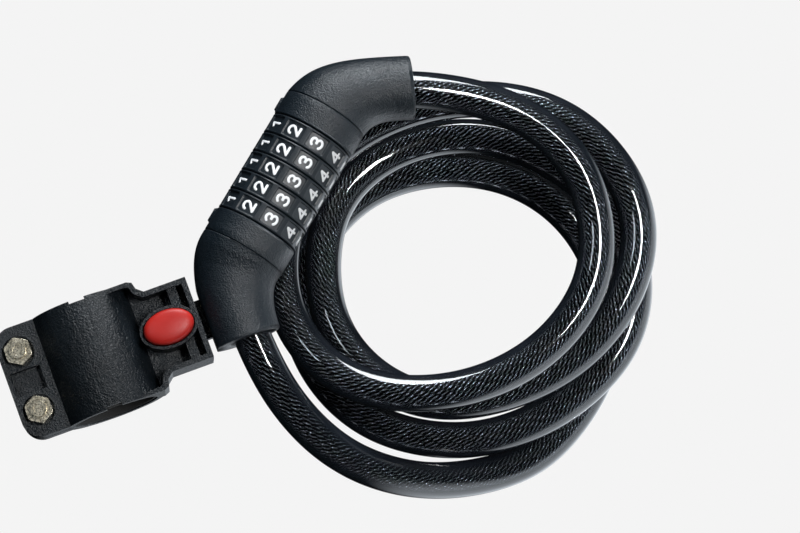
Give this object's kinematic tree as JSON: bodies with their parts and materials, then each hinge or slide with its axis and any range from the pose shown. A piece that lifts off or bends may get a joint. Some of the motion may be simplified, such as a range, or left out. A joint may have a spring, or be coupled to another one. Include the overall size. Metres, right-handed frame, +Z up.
{
  "type": "cable lock",
  "caption": "Coiled combination cable lock with number dials, elbow end caps and a quick-release bracket that clamps on a bicycle tube.",
  "frame": {"origin": "centre of the tube clamp, on the axis of the tube it grips", "axes": "+Z up along the tube, +X from the tube to the lock, -Y the side that the release button faces"},
  "size_m": [0.2158, 0.0696, 0.1449],
  "materials": {
    "shell_plastic": "moulded black plastic with a coarse spark-eroded texture",
    "dial_plastic": "smooth dark grey moulded plastic",
    "digit_white": "white filled numerals",
    "button_red": "semi-gloss red moulded plastic",
    "smoked_jacket": "clear smoked vinyl jacket over a steel rope",
    "rope_steel": "twisted bright steel strands",
    "zinc_steel": "warm zinc-plated steel",
    "bright_steel": "bright turned steel",
    "rubber_black": "black rubber"
  },
  "bodies": {
    "bracket": {"clamp_front_shell": "shell_plastic", "clamp_rear_shell": "shell_plastic", "liner_front": "rubber_black", "liner_rear": "rubber_black", "clamp_bolts": "zinc_steel", "clamp_nuts": "zinc_steel", "receiver_screws": "zinc_steel", "button_spring": "bright_steel"},
    "button": {"release_button": "button_red"},
    "lock_body": {"mount_lug": "shell_plastic", "lug_screws": "zinc_steel", "lower_elbow_cap": "shell_plastic", "lower_collar": "shell_plastic", "core_tube": "bright_steel", "plug_spring": "bright_steel", "detent_springs": "bright_steel", "upper_collar": "shell_plastic", "retaining_clip": "bright_steel", "lower_ferrule": "bright_steel", "lower_cross_pin": "bright_steel", "cable": "smoked_jacket"},
    "plug": {"upper_elbow_cap": "shell_plastic", "shackle_pin": "bright_steel", "upper_ferrule": "bright_steel", "upper_cross_pin": "bright_steel"},
    "wheel_1": {"dial_1": "dial_plastic", "code_ring_1": "zinc_steel"},
    "wheel_2": {"dial_2": "dial_plastic", "code_ring_2": "zinc_steel"},
    "wheel_3": {"dial_3": "dial_plastic", "code_ring_3": "zinc_steel"},
    "wheel_4": {"dial_4": "dial_plastic", "code_ring_4": "zinc_steel"},
    "wheel_5": {"dial_5": "dial_plastic", "code_ring_5": "zinc_steel"}
  },
  "joints": [
    {"name": "button_press", "type": "slide", "parent": "bracket", "child": "button", "axis": [0, 1, 0], "range_m": [0, 0.003], "stiffness_N_per_m": 400, "springref_m": -0.003, "deforming": ["button_spring"]},
    {"name": "lock_release", "type": "slide", "parent": "bracket", "child": "lock_body", "axis": [1, 0, 0], "range_m": [0, 0.03]},
    {"name": "dial_1_turn", "type": "hinge", "parent": "lock_body", "child": "wheel_1", "pos_m": [0.07445, -0.007, 0.03173], "axis": [0.7727, 0, 0.6347], "continuous": true},
    {"name": "dial_2_turn", "type": "hinge", "parent": "lock_body", "child": "wheel_2", "pos_m": [0.07445, -0.007, 0.03173], "axis": [0.7727, 0, 0.6347], "continuous": true},
    {"name": "dial_3_turn", "type": "hinge", "parent": "lock_body", "child": "wheel_3", "pos_m": [0.07445, -0.007, 0.03173], "axis": [0.7727, 0, 0.6347], "continuous": true},
    {"name": "dial_4_turn", "type": "hinge", "parent": "lock_body", "child": "wheel_4", "pos_m": [0.07445, -0.007, 0.03173], "axis": [0.7727, 0, 0.6347], "continuous": true},
    {"name": "dial_5_turn", "type": "hinge", "parent": "lock_body", "child": "wheel_5", "pos_m": [0.07445, -0.007, 0.03173], "axis": [0.7727, 0, 0.6347], "continuous": true},
    {"name": "plug_pull", "type": "slide", "parent": "lock_body", "child": "plug", "axis": [0.7727, 0, 0.6347], "range_m": [0, 0.04], "deforming": ["plug_spring", "cable"]}
  ]
}
